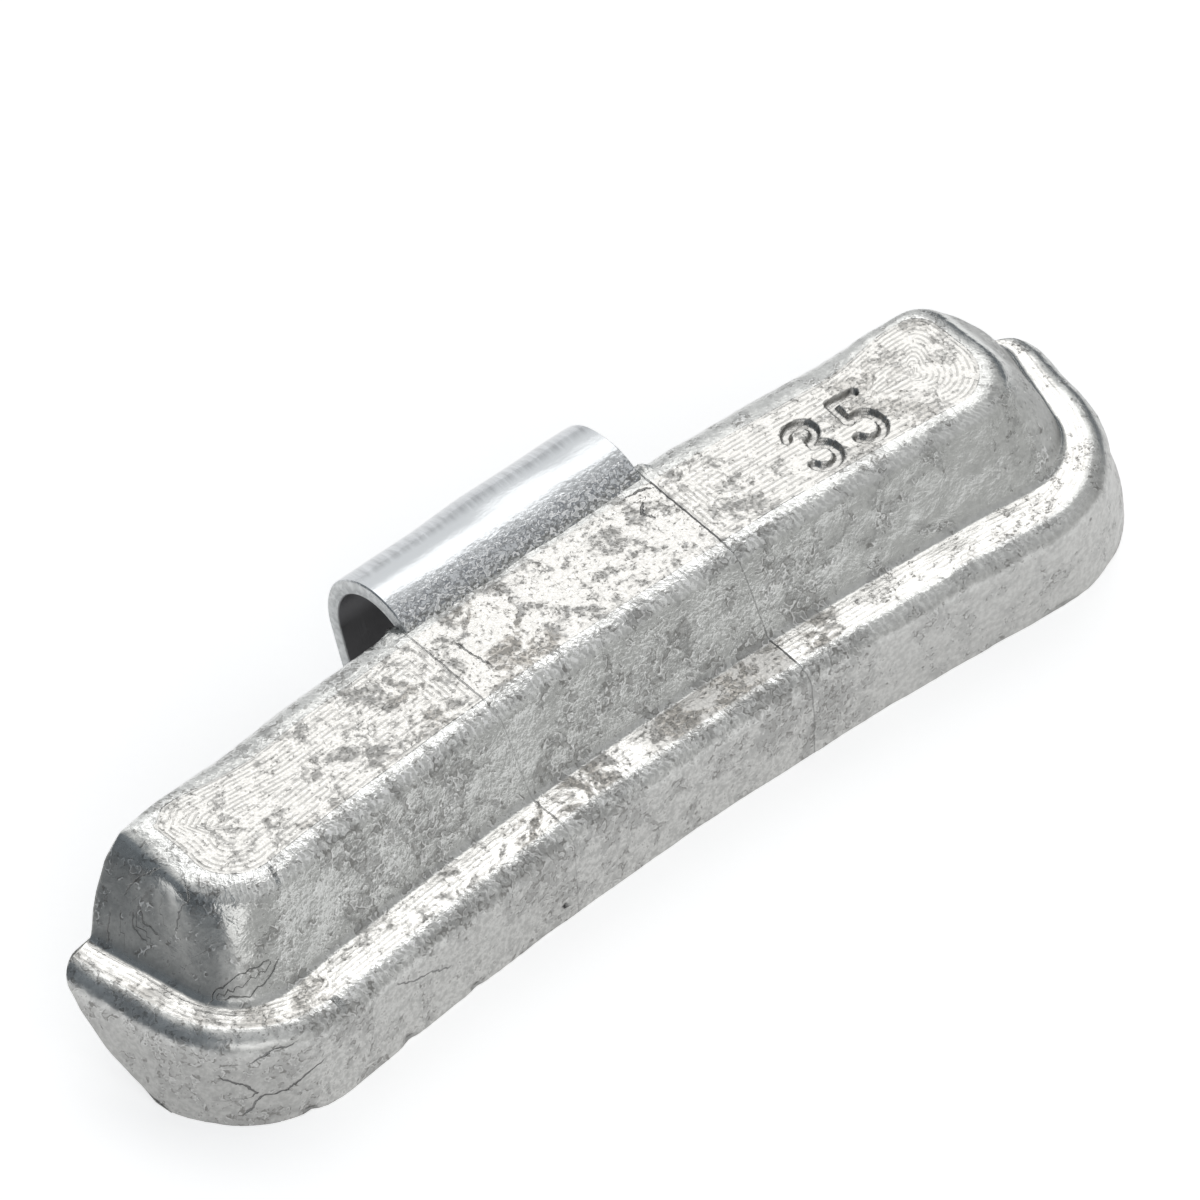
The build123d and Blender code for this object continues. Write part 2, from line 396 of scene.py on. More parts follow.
def line_field(points, normal):
    """Distance to the nearest cold line, signed by side, and that line's strength, faded past its ends."""
    best = np.full(len(points), 9.0)
    signed = np.full(len(points), 9.0)
    strength = np.zeros(len(points))
    for share, curve in COLD_LINES:
        curve = np.array(curve)
        last = len(curve) - 2
        for k, (a, b) in enumerate(zip(curve[:-1], curve[1:])):
            run = b - a
            free = (points - a) @ run / (run @ run)
            t = np.clip(free, 0.0, 1.0)
            away = points - a - t[:, None] * run
            gap = np.linalg.norm(away, axis=1)
            past = np.where(k == 0, -free, -1.0)
            past = np.maximum(past, np.where(k == last, free - 1.0, -1.0)) * np.linalg.norm(run)
            nearer = gap < best
            side = np.sign((np.cross(run, normal) * away).sum(1))
            best = np.where(nearer, gap, best)
            signed = np.where(nearer, gap * side, signed)
            strength = np.where(nearer, share * (1.0 - smooth(0.0, 0.3, past)), strength)
    return signed, strength


def mesh_piece(name, points, faces, attributes, material, node):
    """Make one mesh object in the shared frame from points in millimetres and hand it to the frame."""
    mesh = bpy.data.meshes.new(name)
    mesh.from_pydata((points * MM).tolist(), [], faces)
    for key, values in attributes.items():
        layer = mesh.attributes.new(key, "FLOAT", "POINT")
        layer.data.foreach_set("value", np.asarray(values, np.float32))
    mesh.update()
    mesh.shade_smooth()
    mesh.set_sharp_from_angle(angle=SHARP_ANGLE)
    mesh.materials.append(material)
    piece = bpy.data.objects.new(name, mesh)
    bpy.context.scene.collection.objects.link(piece)
    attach(piece, "root")
    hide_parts(node)
    return piece


def grid_faces(rows, columns):
    """Quads of a grid of points held row after row, whose last column joins its first."""
    r = np.arange(rows - 1)[:, None]
    c = np.arange(columns)[None, :]
    n = (c + 1) % columns
    quads = [r * columns + c, r * columns + n, (r + 1) * columns + n, (r + 1) * columns + c]
    return np.stack(quads, axis=2).reshape(-1, 4)


def uneven_skin(rows, zone):
    """The rows' points moved along their outward normals, as on a cast skin; gives points and normals.

    Sine waves of three lengths lift and sink the skin, by zone; burrs and chips are bell-shaped bumps at
    their places, and the lower right corner swells by a squared sine across its columns.
    """
    count, columns, _ = rows.shape
    normal = np.cross(np.roll(rows, -1, axis=1) - np.roll(rows, 1, axis=1), np.gradient(rows, axis=0))
    normal = normal.reshape(-1, 3)
    normal /= np.maximum(np.linalg.norm(normal, axis=1), 1e-9)[:, None]
    points = rows.reshape(-1, 3)
    strength = np.pad(np.choose(zone, UNEVEN), SPREAD // 2, mode="edge")
    strength = np.convolve(strength, np.full(SPREAD, 1 / SPREAD), mode="valid")
    lump = sum(height * waves(points, *kind) for height, *kind in LUMPS)
    points = points + normal * ((lump - SUNK) * np.repeat(strength, columns))[:, None]
    for x, y, z, size, rise in SPOTS:
        far = np.linalg.norm(points - [x, y - WALL_Y, z], axis=1)
        points = points + normal * (rise * np.exp(-(far / size) ** 2))[:, None]
    swollen = CORNER_N + 12                    # the corner's columns and the first of the end line's
    corner = np.zeros(columns)
    corner[FRONT_N:FRONT_N + swollen] = np.sin(np.linspace(0.0, np.pi, swollen)) ** 2
    low_side = smooth(4.3, 1.5, points[:, 2]) * np.repeat(zone == SIDE_ZONE, columns)
    points = points + normal * (0.5 * np.tile(corner, count) * low_side)[:, None]
    return points, normal


def make_body(material):
    """The casting: its rows with a cast skin, the engraved number, and the masks of the finish."""
    rows, zone = body_rows()
    seat = seat_rows(rows[0])
    rows = np.concatenate([seat, rows])
    zone = np.concatenate([np.full(len(seat), SEAT_ZONE), zone])
    count, columns, _ = rows.shape
    points, normal = uneven_skin(rows, zone)
    points[:, 0] = np.clip(points[:, 0], cad_low.x * PER_METRE, cad_high.x * PER_METRE)
    points[:, 1] += WALL_Y
    zones = np.repeat(zone, columns)
    digits = digit_depth(points[:, 0], points[:, 1], number_strokes(), STROKE_WIDTH) * (zones == FLAT_ZONE)
    points[:, 2] -= DIGIT_DEPTH * digits
    points[:, 2] = np.maximum(points[:, 2], 0.0)

    # Masks of the finish: lengths along and up the rows, cold lines, level faces, worn edges and sides
    along = np.tile(path_length(rows[len(seat)]), count)
    rise = np.linalg.norm(np.diff(rows, axis=0), axis=2)
    up = np.concatenate([np.zeros((1, columns)), np.cumsum(rise, axis=0)])
    up -= up[len(seat) + SIDE_ROWS - 1]
    inset = np.maximum(up - up[np.flatnonzero(zone == FLAT_ZONE)[0]], 0.0)
    line_gap, line_strength = line_field(points, normal)
    behind = np.zeros(columns, bool)
    behind[BACK_AT:BACK_AT + FRONT_N - 2] = True
    at_back = np.tile(behind, count)
    behind = at_back & ~np.isin(zones, (BROW_ZONE, FLAT_ZONE, SEAT_ZONE))
    turned = np.zeros(count)
    for k in (EDGE_ZONE, BROW_ZONE):
        turned[zone == k] = steps(int(np.sum(zone == k)))
    turned = np.repeat(turned, columns) * ~behind
    level = np.isin(zones, (LEDGE_ZONE, FLAT_ZONE)) & ~behind
    edge = np.where(zones == EDGE_ZONE, turned ** 1.2, np.sqrt(turned)) * np.where(at_back, 0.2, 1.0)
    low = np.isin(zones, (SIDE_ZONE, SEAT_ZONE)) | behind
    side = np.where(zones == EDGE_ZONE, 1.0 - turned, low)

    # Points that fall together are joined, and faces that lose a side there become triangles or go
    _, first, index = np.unique(np.round(points, 5), axis=0, return_index=True, return_inverse=True)
    faces = []
    for quad in index.reshape(-1)[grid_faces(count, columns)]:
        ring = [int(v) for k, v in enumerate(quad) if v != quad[k - 1]]
        if len(set(ring)) == len(ring) and len(ring) > 2:
            faces.append(ring)
    masks = {
        "along": along,
        "up": up.reshape(-1),
        "inset": inset.reshape(-1),
        "digits": digits,
        "line_gap": line_gap,
        "line_strength": line_strength,
        "level": level,
        "flat": zones == FLAT_ZONE,
        "edge": edge,
        "side": side,
    }
    masks = {key: values[first] for key, values in masks.items()}
    return mesh_piece("cast_body_skin", points[first], faces, masks, material, "cast_body")


def make_clip(material):
    """The clip: a strip's section, carried across its width.

    The section's middle line runs up the leaning leg, round the bend and a little way into the casting;
    half the thickness to each side of it, with small bevels, gives the skin. Near the leg's end the width
    follows two quarter circles.
    """
    lean = np.radians(LEG_LEAN)
    middle = (BEND_IN + BEND_OUT) / 2
    leg_run = np.array([-np.sin(lean), -np.cos(lean)])
    leg_length = (BEND_Z - BEND_OUT * np.sin(lean) - LEG_CLEARANCE) / np.cos(lean)
    angles = np.radians(np.linspace(-LEG_LEAN, BEND_STOP, 75))
    arc = np.stack([BEND_Y + middle * np.cos(angles), BEND_Z + middle * np.sin(angles)], axis=1)
    out = np.stack([np.cos(angles), np.sin(angles)], axis=1)
    leg_t = np.linspace(1.0, 0.0, 30)[:-1, None]
    leg = arc[0] + leg_run * leg_length * leg_t
    line = np.concatenate([leg, arc])
    out = np.concatenate([np.repeat(out[:1], len(leg), axis=0), out])
    run = path_length(line)
    bite = np.clip(LEG_CORNER - run, 0.0, LEG_CORNER)
    half = CLIP_HALF - (LEG_CORNER - np.sqrt(LEG_CORNER ** 2 - bite ** 2))

    # Round the strip's cross section: outer face, right cut face, inner face, left cut face
    thick = (BEND_OUT - BEND_IN) / 2
    across = np.concatenate([
        np.linspace(-1, -0.9, 8)[:-1],
        np.linspace(-0.9, 0.9, 70)[:-1],
        np.linspace(0.9, 1, 8),
    ])
    n = len(across)
    cut_face = np.array([thick - CLIP_BEVEL, 0.12, -0.12, -thick + CLIP_BEVEL])
    ring_x = np.concatenate([across, np.ones(4), across[::-1], -np.ones(4)])
    ring_out = np.concatenate([np.full(n, thick), cut_face, np.full(n, -thick), cut_face[::-1]])
    shrink = np.concatenate([np.full(n, CLIP_BEVEL), np.zeros(4), np.full(n, CLIP_BEVEL), np.zeros(4)])
    x = ring_x[None, :] * (half[:, None] - shrink[None, :])
    y = line[:, 0:1] + out[:, 0:1] * ring_out[None, :]
    z = line[:, 1:2] + out[:, 1:2] * ring_out[None, :]
    rows = np.stack([x, y, np.maximum(z, LEG_CLEARANCE)], axis=2)
    count, columns, _ = rows.shape
    points = rows.reshape(-1, 3)

    # A faint ripple, and a swell round the right half of the crest
    bend = np.repeat(np.concatenate([np.full(len(leg), -LEG_LEAN), np.degrees(angles)]), columns)
    swell = 0.14 * smooth(-3.0, 1.0, points[:, 0]) * smooth(5.0, 35.0, bend) * smooth(84.0, 55.0, bend)
    ripple = 0.012 * waves(points, 3.0, 24, 5) + swell - 0.03
    points[:, 1] += np.repeat(out[:, 0], columns) * ripple
    points[:, 2] += np.repeat(out[:, 1], columns) * ripple
    points[:, 2] = np.maximum(points[:, 2], LEG_CLEARANCE)
    points[:, 1] += WALL_Y
    faces = grid_faces(count, columns)[:, ::-1].tolist()
    faces.append(list(range(columns)))
    faces.append(list(range((count - 1) * columns, count * columns))[::-1])
    masks = {
        "along": points[:, 0],
        "bend": bend,
        "cut": np.tile(shrink == 0, count),
        "inner": np.tile(ring_out < 0, count),
    }
    return mesh_piece("spring_clip_skin", points, faces, masks, material, "spring_clip")


def feed(tree, node, inputs):
    """Set or link a node's inputs."""
    for key, value in inputs.items():
        if isinstance(value, bpy.types.NodeSocket):
            tree.links.new(value, node.inputs[key])
        else:
            node.inputs[key].default_value = value


def add(tree, kind, inputs=(), **settings):
    """Add a node, set its properties, and set or link its inputs; gives back its first output."""
    made = tree.nodes.new("ShaderNode" + kind)
    for key, value in settings.items():
        setattr(made, key, value)
    feed(tree, made, dict(inputs))
    return made.outputs[0] if made.outputs else made


class Nodes:
    """Short names for the nodes that the materials are built from, in one node tree."""

    def __init__(self, tree):
        self.tree = tree

    def math(self, operation, a, b=0.0):
        """One arithmetic step."""
        return add(self.tree, "Math", {0: a, 1: b}, operation=operation)

    def mul(self, *values):
        """Product of values."""
        total = values[0]
        for value in values[1:]:
            total = self.math("MULTIPLY", total, value)
        return total

    def sum(self, *values):
        """Sum of values."""
        total = values[0]
        for value in values[1:]:
            total = self.math("ADD", total, value)
        return total

    def without(self, value):
        """What a value lacks to 1."""
        return self.math("SUBTRACT", 1.0, value)

    def centred(self, value):
        """A value between 0 and 1, moved to lie about 0."""
        return self.math("SUBTRACT", value, 0.5)

    def ramp(self, value, low, high, start=0.0, end=1.0):
        """Smooth step of a value from start at low to end at high."""
        return add(self.tree, "MapRange", {"Value": value, "From Min": low, "From Max": high,
                                           "To Min": start, "To Max": end}, interpolation_type="SMOOTHSTEP")

    def mix(self, share, a, b):
        """Blend of two colours."""
        made = add(self.tree, "Mix", {0: share, 6: a, 7: b}, data_type="RGBA").node
        return made.outputs[2]

    def blend(self, share, a, b):
        """Blend of two values."""
        return add(self.tree, "Mix", {0: share, 2: a, 3: b})

    def attribute(self, name):
        """A value stored on the mesh."""
        return add(self.tree, "Attribute", attribute_name=name).node.outputs["Fac"]

    def noise(self, where, scale, detail=2.0, roughness=0.5):
        """Cloudy noise between 0 and 1."""
        return add(self.tree, "TexNoise", {"Vector": where, "Scale": scale, "Detail": detail,
                                           "Roughness": roughness})

    def millimetres(self):
        """The place on the piece, in millimetres."""
        place = add(self.tree, "TexCoord").node.outputs["Object"]
        return self.stretch(place, (PER_METRE, PER_METRE, PER_METRE))

    def stretch(self, where, factors):
        """A place, scaled by axis."""
        return add(self.tree, "VectorMath", {0: where, 1: factors}, operation="MULTIPLY")

    def scale(self, vector, factor):
        """A colour or a way, times a value."""
        return add(self.tree, "VectorMath", {0: vector, "Scale": factor}, operation="SCALE")

    def shift(self, where, value, way):
        """A place, moved along a way by a value."""
        return add(self.tree, "VectorMath", {0: where, 1: self.scale(way, value)}, operation="ADD")

    def measure(self, operation, a, b):
        """One value from two vectors, such as their distance."""
        return add(self.tree, "VectorMath", {0: a, 1: b}, operation=operation).node.outputs["Value"]

    def place(self, x, y, z=0.0):
        """A place from three values."""
        return add(self.tree, "CombineXYZ", {0: x, 1: y, 2: z})

    def metal(self, colour, rough, height):
        """The metal's shader, with a bump from a height in millimetres."""
        bump = add(self.tree, "Bump", {"Strength": 1.0, "Distance": MM, "Height": height})
        shader = add(self.tree, "BsdfPrincipled", {"Base Color": colour, "Metallic": 1.0,
                                                   "Roughness": rough, "Normal": bump})
        add(self.tree, "OutputMaterial", {"Surface": shader})


GRAIN_INPUTS = (("Place", "Vector"), ("Pitch", "Float"), ("Amount", "Float"))
GRAIN_OUTPUTS = ("Specks", "Curls", "Painted glints", "Height")


def grain_group():
    """Grain shared by both metals: specks, and thin dark and bright curls side by side, all in clusters; the
    bright curls are painted glints, the dark ones partly marks and partly painted shade.
    """
    tree = bpy.data.node_groups.new("metal_grain", "ShaderNodeTree")
    for name, kind in GRAIN_INPUTS:
        tree.interface.new_socket(name, in_out="INPUT", socket_type="NodeSocket" + kind)
    for name in GRAIN_OUTPUTS:
        tree.interface.new_socket(name, in_out="OUTPUT", socket_type="NodeSocketFloat")
    n = Nodes(tree)
    given = tree.nodes.new("NodeGroupInput").outputs
    result = tree.nodes.new("NodeGroupOutput")
    fine = n.noise(given["Place"], given["Pitch"], 2.0, 0.62)
    cluster = n.mul(n.ramp(given["Amount"], -0.20, 0.10), n.ramp(fine, 0.42, 0.52))
    bent = n.noise(given["Place"], n.mul(given["Pitch"], 0.55), 1.0, 0.6)
    # Dark curls, partly marks and partly painted shade, and painted glints beside them, as of lit relief
    dark = n.ramp(n.math("ABSOLUTE", n.math("SUBTRACT", bent, 0.49)), 0.055, 0.020)
    light = n.ramp(n.math("ABSOLUTE", n.math("SUBTRACT", bent, 0.57)), 0.050, 0.018)
    feed(tree, result, {
        "Specks": n.ramp(n.sum(fine, n.mul(given["Amount"], 0.22)), 0.57, 0.61),
        "Curls": n.mul(dark, cluster),
        "Painted glints": n.mul(light, cluster),
        "Height": fine,
    })
    return tree


def grain(n, group, where, pitch, amount):
    """The shared grain placed in one material; gives its four outputs."""
    made = n.tree.nodes.new("ShaderNodeGroup")
    made.node_tree = group
    feed(n.tree, made, {"Place": where, "Pitch": pitch, "Amount": amount})
    return [made.outputs[key] for key in GRAIN_OUTPUTS]


def new_material(name):
    """An empty material with its node tree."""
    material = bpy.data.materials.new(name)
    material.use_nodes = True
    material.node_tree.nodes.clear()
    return material, Nodes(material.node_tree)


# Colours of the casting, painted shade and highlights among them
LEDGE_BRIGHT = (0.88, 0.868, 0.838, 1)
FLAT_BRIGHT = (0.71, 0.698, 0.67, 1)
PATCH_GREY = (0.38, 0.374, 0.36, 1)
PATCH_BROWN = (0.47, 0.435, 0.385, 1)
SLOPE_SATIN = (0.54, 0.545, 0.53, 1)
SIDE_MATTE = (0.44, 0.437, 0.425, 1)
EDGE_WORN_AND_SHEEN = (0.89, 0.895, 0.875, 1)
SKIN_PALE = (0.9, 0.9, 0.88, 1)
SKIN_DARK = (0.3, 0.3, 0.3, 1)
END_SIDE_SHADE = (0.24, 0.237, 0.23, 1)
END_SLOPE_SHADE = (0.29, 0.288, 0.28, 1)
SPECK_DARK = (0.23, 0.225, 0.215, 1)
CURL_MARK_AND_SHADE = (0.18, 0.175, 0.165, 1)
GLINT_HIGHLIGHT = (0.97, 0.97, 0.96, 1)
MILLED_DARK = (0.38, 0.375, 0.36, 1)
ENGRAVED_SHADE = (0.30, 0.295, 0.285, 1)
CRACK_DARK = (0.10, 0.10, 0.10, 1)
PIT_SHADE = (0.02, 0.02, 0.02, 1)

MILL_PITCH = 0.30                              # millimetres between milled lines
ZINC_GRAIN, ZINC_DUST = 3.6, 9.0               # noise cells in a millimetre


def zinc_material(group):
    """Cast zinc: milled marks and dull patches on the level faces, satin slopes, matte grainy sides; painted
    shade and highlights.
    """
    material, n = new_material("zinc")
    mm = n.millimetres()
    x, _, z = add(n.tree, "SeparateXYZ", {0: mm}).node.outputs
    flat, level, edge, side, digits = (n.attribute(k) for k in ("flat", "level", "edge", "side", "digits"))
    along, up, inset = (n.attribute(k) for k in ("along", "up", "inset"))
    ledge = n.mul(level, n.without(flat))
    from_seam = n.math("SUBTRACT", n.math("ABSOLUTE", x), SEAM_X)
    outer = n.ramp(from_seam, -0.05, 0.05)

    # Clouds of three sizes, drawn out by a slow warp as the metal flowed
    drift = n.noise(mm, 0.6, 0.0)
    warp = n.shift(mm, drift, (1.6, -1.4, 1.2))
    broad = n.noise(mm, 0.17, 1.0, 0.55)
    cloud = n.noise(warp, 0.5, 2.0, 0.65)
    smear = n.noise(warp, 1.9, 2.0, 0.68)
    patch = n.ramp(n.sum(n.mul(cloud, 0.5), n.mul(smear, 0.3), n.mul(broad, 0.2)), 0.47, 0.57)

    # Where the casting is cleaner: its right part, its left end, and the left part of the level faces
    clean = n.ramp(x, 8.0, 15.0)
    left = n.ramp(x, -24.0, -26.5)
    calm = n.math("MAXIMUM", clean, left)
    swept = n.mul(level, n.ramp(x, -12.0, -20.0))

    # Grain, thick in the dull patches of the level faces and where the skin of the slopes ran rough
    amount = n.sum(
        n.mul(patch, n.blend(flat, 0.75, 0.6)),
        n.mul(smear, 0.6),
        n.mul(flat, 0.11),
        n.mul(side, -0.15),
        n.mul(clean, n.blend(flat, -0.42, -0.22)),
        n.mul(left, -0.22),
        n.mul(swept, n.blend(flat, -0.24, -0.10)),
        -0.46,
    )
    curl = n.shift(mm, smear, (0.25, -0.25, 0.2))
    speck, curls, painted_glint, fine = grain(n, group, curl, ZINC_GRAIN, amount)
    dust = n.noise(curl, ZINC_DUST, 2.0, 0.62)
    broken = n.ramp(dust, 0.40, 0.58)

    # Dull patches of the level faces, brown in places, and a rubbed stretch of the ledge
    right = n.mul(level, clean)
    dull = n.mul(level, patch, n.blend(right, 1.0, n.blend(flat, 0.15, 0.4)), n.blend(swept, 1.0, 0.6))
    brown = n.mul(dull, n.ramp(broad, 0.47, 0.58))
    rubbed = n.mul(ledge, n.ramp(x, -2.5, 0.5), n.ramp(x, 7.75, 7.45))
    dull = n.math("MAXIMUM", dull, n.mul(rubbed, 0.8))

    # Milled lines on the level faces, even offsets of the outline and of the seam
    offset = n.blend(flat, up, n.math("MINIMUM", inset, n.math("MAXIMUM", from_seam, 0.0)))
    phase = n.mul(n.sum(offset, n.mul(smear, 0.12), -0.13), 2 * np.pi / MILL_PITCH)
    line = n.ramp(n.math("SINE", phase), 0.0, 0.9)
    milled = n.mul(level, n.blend(flat, n.blend(clean, 0.7, 0.5), outer), n.ramp(smear, 0.36, 0.50), line)

    # Seams of the die's insert, the cold lines kept on the mesh, and the pit, whose near-black is painted
    # shade
    seam = n.ramp(n.math("ABSOLUTE", n.sum(from_seam, n.mul(smear, 0.12), -0.06)), 0.055, 0.02)
    seam = n.mul(seam, n.blend(level, 0.45, 0.9), n.ramp(x, -1.0, 1.0, 0.55, 1.0))
    gap = n.sum(n.attribute("line_gap"), n.mul(smear, 0.4), -0.2)
    crack = n.mul(n.ramp(n.math("ABSOLUTE", gap), 0.075, 0.025), n.attribute("line_strength"))
    pit = n.ramp(n.sum(n.measure("DISTANCE", mm, PIT), n.mul(fine, 0.2)), 0.36, 0.26)

    # Hatching on the rounded front edges: short strokes across them, mostly lighter, partly painted highlight
    front = n.mul(edge, n.ramp(n.math("ABSOLUTE", x), 27.0, 22.0))
    hatch = n.math("SINE", n.sum(n.mul(along, 15.0), n.mul(smear, 16.0), n.mul(up, 2.5)))
    hatch = n.ramp(n.sum(hatch, n.mul(fine, 2.0)), 0.9, 2.0, -0.3, 0.8)
    hatch = n.mul(front, n.blend(clean, 1.0, 0.6), hatch)

    # Painted shade on the end slopes, between the ledge and the top rounding; it also makes them rougher
    ends = n.sum(n.mul(n.ramp(x, -24.8, -26.8), 0.6), n.mul(n.ramp(x, 24.0, 26.5), 0.45))
    end_shade = n.mul(ends, n.ramp(z, 9.3, 8.3), n.ramp(z, 5.45, 5.75), n.without(level))

    # Colour: bright level faces, satin slopes and matte sides, then the fine marks over them, with painted
    # shade and highlights
    bright = n.mix(flat, LEDGE_BRIGHT, FLAT_BRIGHT)
    bright = n.mix(n.mul(dull, 0.75), bright, PATCH_GREY)
    bright = n.mix(n.mul(brown, 0.55), bright, PATCH_BROWN)
    skin = n.mix(side, SLOPE_SATIN, SIDE_MATTE)
    # Lighter rounded edges, partly wear and partly painted highlight, less so towards the right
    worn_and_sheen = n.mul(edge, n.ramp(x, 23.0, 26.0, 1.0, 0.25), n.ramp(x, 4.0, 14.0, 1.0, 0.68))
    skin = n.mix(worn_and_sheen, skin, EDGE_WORN_AND_SHEEN)
    skin = n.mix(n.mul(patch, 0.26), n.mix(0.16, skin, SKIN_PALE), SKIN_DARK)
    # Painted shade low on the left end's sides, darker towards the bottom
    skin = n.mix(n.mul(side, left, n.ramp(z, 4.3, 3.3), 0.3), skin, END_SIDE_SHADE)
    # Painted shade on the end slopes
    skin = n.mix(end_shade, skin, END_SLOPE_SHADE)
    salt = n.ramp(n.blend(level, fine, dust), 0.32, 0.68, -0.5, 0.5)
    salt = n.mul(salt, n.blend(side, n.blend(patch, 0.25, 0.6), 0.35))
    salt = n.mul(salt, n.blend(calm, 1.0, 0.6), n.blend(n.mul(ledge, calm), 1.0, 0.4))
    colour = n.scale(n.mix(level, skin, bright), n.sum(salt, n.mul(hatch, 0.5), 1.0))
    colour = n.mix(n.mul(speck, n.blend(level, 0.52, n.mul(broken, 0.85))), colour, SPECK_DARK)
    # Dark curls, partly marks and partly painted shade, then painted glints beside them
    colour = n.mix(n.mul(curls, n.blend(level, 0.55, n.mul(broken, 0.9))), colour, CURL_MARK_AND_SHADE)
    colour = n.mix(n.mul(painted_glint, n.blend(n.sum(level, side), 0.55, 0.25)), colour, GLINT_HIGHLIGHT)
    colour = n.mix(n.mul(milled, 0.62), colour, MILLED_DARK)
    # Painted shade in the engraved number, darkest at its walls
    engraved = n.sum(n.mul(digits, n.without(digits), 2.4), n.mul(digits, 0.2))
    colour = n.mix(engraved, colour, ENGRAVED_SHADE)
    colour = n.mix(n.math("MAXIMUM", seam, n.mul(crack, 0.8)), colour, CRACK_DARK)
    # Painted shade in the pit
    colour = n.mix(n.mul(pit, 0.9), colour, PIT_SHADE)

    rough = n.sum(
        n.blend(level, 0.22, 0.24),
        n.mul(side, 0.16),
        n.mul(dull, 0.12),
        n.mul(speck, 0.08),
        n.mul(end_shade, 0.45),
    )
    grainy = n.mul(n.blend(side, 0.026, 0.020), n.blend(calm, 1.0, 0.45))
    height = n.sum(
        n.mul(n.centred(fine), n.blend(level, grainy, 0.015)),
        n.mul(n.centred(smear), n.blend(level, n.blend(calm, 0.038, 0.022), 0.016)),
        n.mul(milled, -0.005),
        n.mul(hatch, 0.007),
        n.mul(seam, -0.03),
        n.mul(crack, -0.06),
        n.mul(pit, -0.06),
    )
    n.metal(colour, rough, height)
    return material


# Colours of the clip, painted shade and highlights among them
BEND_BRIGHT = (0.72, 0.74, 0.755, 1)
CREST_SHADE = (0.54, 0.555, 0.57, 1)
ROOT_WARM = (0.50, 0.49, 0.44, 1)
PLATE_SPECK = (0.30, 0.315, 0.34, 1)
PLATE_CURL_AND_SHADE = (0.17, 0.185, 0.21, 1)
PLATE_GLINT_HIGHLIGHT = (1.0, 1.0, 1.0, 1)
CUT_SHEARED = (0.50, 0.51, 0.51, 1)
CUT_TORN = (0.62, 0.63, 0.63, 1)
INSIDE_SHADE = (0.10, 0.10, 0.105, 1)

STEEL_GRAIN = 6.0                              # noise cells in a millimetre


def steel_material(group):
    """Zinc-plated spring steel: bright round the bend, grainy towards the root, two-toned sheared ends;
    painted shade on the crest and inside, painted glints.
    """
    material, n = new_material("steel")
    mm = n.millimetres()
    bend, cut, inner, along = (n.attribute(k) for k in ("bend", "cut", "inner", "along"))
    rooted = n.ramp(bend, 92.0, 114.0)
    crest = n.ramp(bend, 74.0, 62.0)

    # Grain towards the root, with a sparkle in it that is partly grain and partly painted highlight, and
    # strands across the crest and down the leg
    bits = n.noise(n.stretch(mm, (0.6, 1.0, 1.0)), 1.8, 2.0, 0.6)
    thick = n.sum(n.mul(rooted, 0.6), n.mul(bits, 1.4), -1.05)
    speck, curls, painted_glint, fine = grain(n, group, n.stretch(mm, (0.75, 1.0, 1.0)), STEEL_GRAIN, thick)
    sparkle = n.mul(rooted, n.ramp(fine, 0.32, 0.68, -0.5, 0.5), n.ramp(bend, 98.0, 124.0, 0.6, 1.3))
    strand = n.place(n.sum(n.mul(along, 3.4), n.mul(bend, 0.05)), n.mul(bend, 0.02))
    strand = n.centred(n.noise(strand, 1.0, 2.0, 0.6))
    strand = n.mul(crest, n.ramp(bend, -10.0, 40.0, 0.4, 1.0), strand)
    torn = n.ramp(n.noise(n.stretch(mm, (0.3, 1.0, 1.0)), 3.0, 3.0, 0.65), 0.4, 0.6)

    # The leg and crest painted greyer than the bend, as painted shade
    colour = n.mix(crest, BEND_BRIGHT, CREST_SHADE)
    colour = n.mix(n.mul(n.ramp(bend, 116.0, 128.0), 0.5), colour, ROOT_WARM)
    colour = n.scale(colour, n.sum(strand, sparkle, 1.0))
    colour = n.mix(n.mul(speck, rooted, 0.4), colour, PLATE_SPECK)
    # Dark curls, partly marks and partly painted shade, then painted glints beside them
    colour = n.mix(n.mul(curls, rooted, 0.75), colour, PLATE_CURL_AND_SHADE)
    colour = n.mix(n.mul(painted_glint, rooted, 0.9), colour, PLATE_GLINT_HIGHLIGHT)
    colour = n.mix(cut, colour, n.mix(torn, CUT_SHEARED, CUT_TORN))
    # Painted shade on the inner face, which faces the casting
    colour = n.mix(n.mul(inner, n.without(cut)), colour, INSIDE_SHADE)
    rough = n.sum(n.blend(rooted, 0.20, 0.26), n.mul(cut, 0.2), n.mul(inner, 0.2))
    height = n.sum(
        n.mul(n.centred(fine), n.blend(rooted, 0.004, 0.045)),
        n.mul(n.centred(bits), n.blend(rooted, 0.01, 0.08)),
        n.mul(strand, 0.03),
        n.mul(cut, torn, 0.03),
    )
    n.metal(colour, rough, height)
    return material


# The studio, as fields of light by direction: heading, the cosines at which a field starts and is full, and
# its colour; each lies on those before it
STUDIO_GREY = (0.57, 0.575, 0.57, 1)
STUDIO_FIELDS = [
    ((0.45, 0.85, 0.15), 0.62, 0.88, (0.84, 0.85, 0.86, 1)),        # pale wall behind
    ((0.93, 0.30, 0.02), 0.86, 0.95, (0.16, 0.18, 0.20, 1)),        # dark corner at the right
    ((0.30, -0.35, 0.88), 0.55, 0.95, (0.58, 0.585, 0.59, 1)),      # ceiling over the front
    ((-0.85, 0.30, 0.35), 0.35, 0.72, (0.18, 0.20, 0.22, 1)),       # dark wall at the left
    ((0.447, 0.46, 0.765), 0.950, 0.980, (1.55, 1.55, 1.55, 1)),    # window high up behind
    ((-0.47, -0.69, 0.55), 0.945, 0.99, (1.45, 1.45, 1.45, 1)),     # window at the left front
]


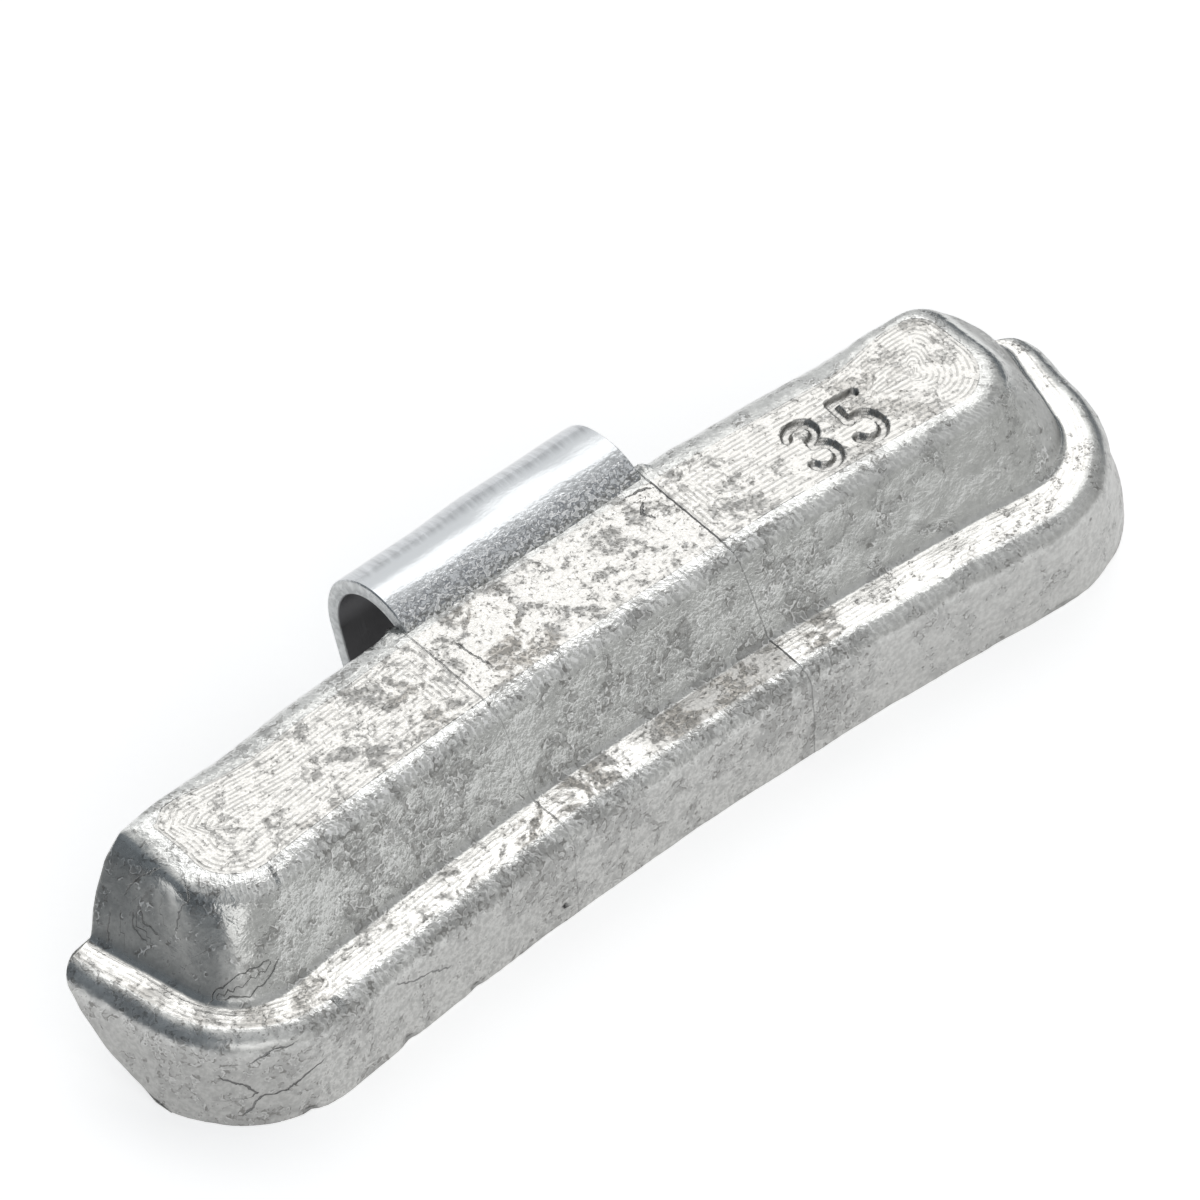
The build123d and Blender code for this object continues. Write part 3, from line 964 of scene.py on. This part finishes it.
def make_world():
    """Studio light by direction: grey walls, a pale one behind, dark fields at both sides, two windows."""
    world = bpy.data.worlds.new("studio")
    bpy.context.scene.world = world
    world.use_nodes = True
    tree = world.node_tree
    tree.nodes.clear()
    n = Nodes(tree)
    way = add(tree, "TexCoord")
    light = STUDIO_GREY
    for heading, low, high, colour in STUDIO_FIELDS:
        towards = n.measure("DOT_PRODUCT", way, Vector(heading).normalized())
        light = n.mix(n.ramp(towards, low, high), light, colour)
    background = add(tree, "Background", {"Color": light, "Strength": 1.0})
    add(tree, "OutputWorld", {"Surface": background})


def make_floor():
    """A pale floor: what it lacks to white is added for the camera, mirrors and glass, so shadows stay."""
    mesh = bpy.data.meshes.new("floor")
    size = 2.0
    corners = [(-size, -size, 0), (size, -size, 0), (size, size, 0), (-size, size, 0)]
    mesh.from_pydata(corners, [], [(0, 1, 2, 3)])
    material, n = new_material("floor")
    paint = add(n.tree, "BsdfDiffuse", {"Color": (0.9, 0.9, 0.9, 1)})
    path = add(n.tree, "LightPath").node.outputs
    seen = n.math("MAXIMUM", path["Is Camera Ray"], path["Is Glossy Ray"])
    seen = n.math("MAXIMUM", seen, path["Is Transmission Ray"])
    glow = add(n.tree, "Emission", {"Color": (1, 1, 1, 1), "Strength": n.mul(seen, 0.56)})
    both = add(n.tree, "AddShader", {0: paint, 1: glow})
    add(n.tree, "OutputMaterial", {"Surface": both})
    mesh.materials.append(material)
    floor = bpy.data.objects.new("floor", mesh)
    bpy.context.scene.collection.objects.link(floor)


def make_camera():
    """The camera at the photo's angle: looks down from the front left with a long lens."""
    data = bpy.data.cameras.new("camera")
    data.lens = 366.2
    data.sensor_width = 36.0
    data.clip_start, data.clip_end = 0.05, 20.0
    camera = bpy.data.objects.new("camera", data)
    ahead = Vector((0.447020, 0.500406, -0.741462))
    target = Vector((0.001527, 0.000133, 0.008242))
    distance = 0.583
    camera.location = target - ahead * distance
    camera.rotation_mode = "QUATERNION"
    camera.rotation_quaternion = ahead.to_track_quat("-Z", "Y")
    bpy.context.scene.collection.objects.link(camera)
    bpy.context.scene.camera = camera


speckle = grain_group()
make_body(zinc_material(speckle))
make_clip(steel_material(speckle))
make_floor()
make_world()
make_camera()
bpy.context.scene.view_settings.view_transform = "Standard"
